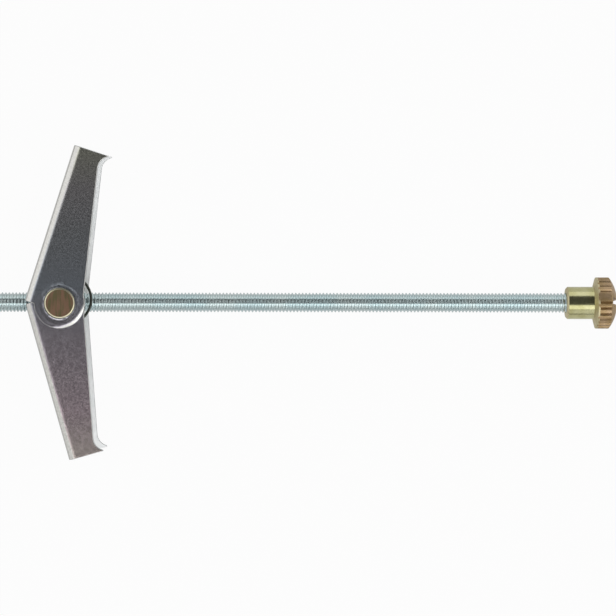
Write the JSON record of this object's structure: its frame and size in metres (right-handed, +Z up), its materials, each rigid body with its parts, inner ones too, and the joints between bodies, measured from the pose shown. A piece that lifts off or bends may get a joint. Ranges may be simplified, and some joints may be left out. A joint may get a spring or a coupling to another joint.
{
  "type": "spring toggle bolt",
  "caption": "Spring toggle bolt: a threaded rod with two sprung folding wings on a cross pin nut and a slotted, knurled blind nut at its other end.",
  "frame": {"origin": "on the rod's axis, where the knurled nut's sleeve meets the shoulder of its head", "axes": "+X along the rod, out of the nut's slotted head; -X runs down the rod to the wings; +Z is up as the part lies flat, along the hinge pin; +Y is across the rod, along the upper wing"},
  "size_m": [0.1282, 0.0635, 0.0104],
  "materials": {
    "zinc_rod": "bright zinc plate",
    "zinc_sheet": "bright zinc plate on pressed sheet",
    "yellow_pin": "yellow passivated zinc, turned",
    "yellow_nut": "yellow passivated zinc, turned",
    "spring_wire": "drawn spring wire"
  },
  "bodies": {
    "pin": {"pin_nut": "yellow_pin", "torsion_spring": "spring_wire"},
    "wing_a": {"wing_upper": "zinc_sheet"},
    "wing_b": {"wing_lower": "zinc_sheet"},
    "rod": {"threaded_rod": "zinc_rod"},
    "nut": {"knurled_nut": "yellow_nut"}
  },
  "joints": [
    {"name": "wing_upper_fold", "type": "hinge", "parent": "pin", "child": "wing_a", "pos_m": [-0.1077, 0, 0], "axis": [0, 0, -1], "range_deg": [0, 75], "stiffness_Nm_per_rad": 0.02, "springref_deg": -20.05, "deforming": ["torsion_spring"]},
    {"name": "wing_lower_fold", "type": "hinge", "parent": "pin", "child": "wing_b", "pos_m": [-0.1077, 0, 0], "axis": [0, 0, 1], "range_deg": [0, 75], "stiffness_Nm_per_rad": 0.02, "springref_deg": -20.05, "deforming": ["torsion_spring"]},
    {"name": "rod_feed", "type": "slide", "parent": "pin", "child": "rod", "axis": [-1, 0, 0], "range_m": [-0.008, 0.066]},
    {"name": "nut_turn", "type": "hinge", "parent": "rod", "child": "nut", "pos_m": [0, 0, 0], "axis": [-1, 0, 0], "range_deg": [-4115, 33944]}
  ],
  "couplings": [
    {"joint": "nut_turn", "follows": "rod_feed", "rad_per_m": 8976}
  ]
}
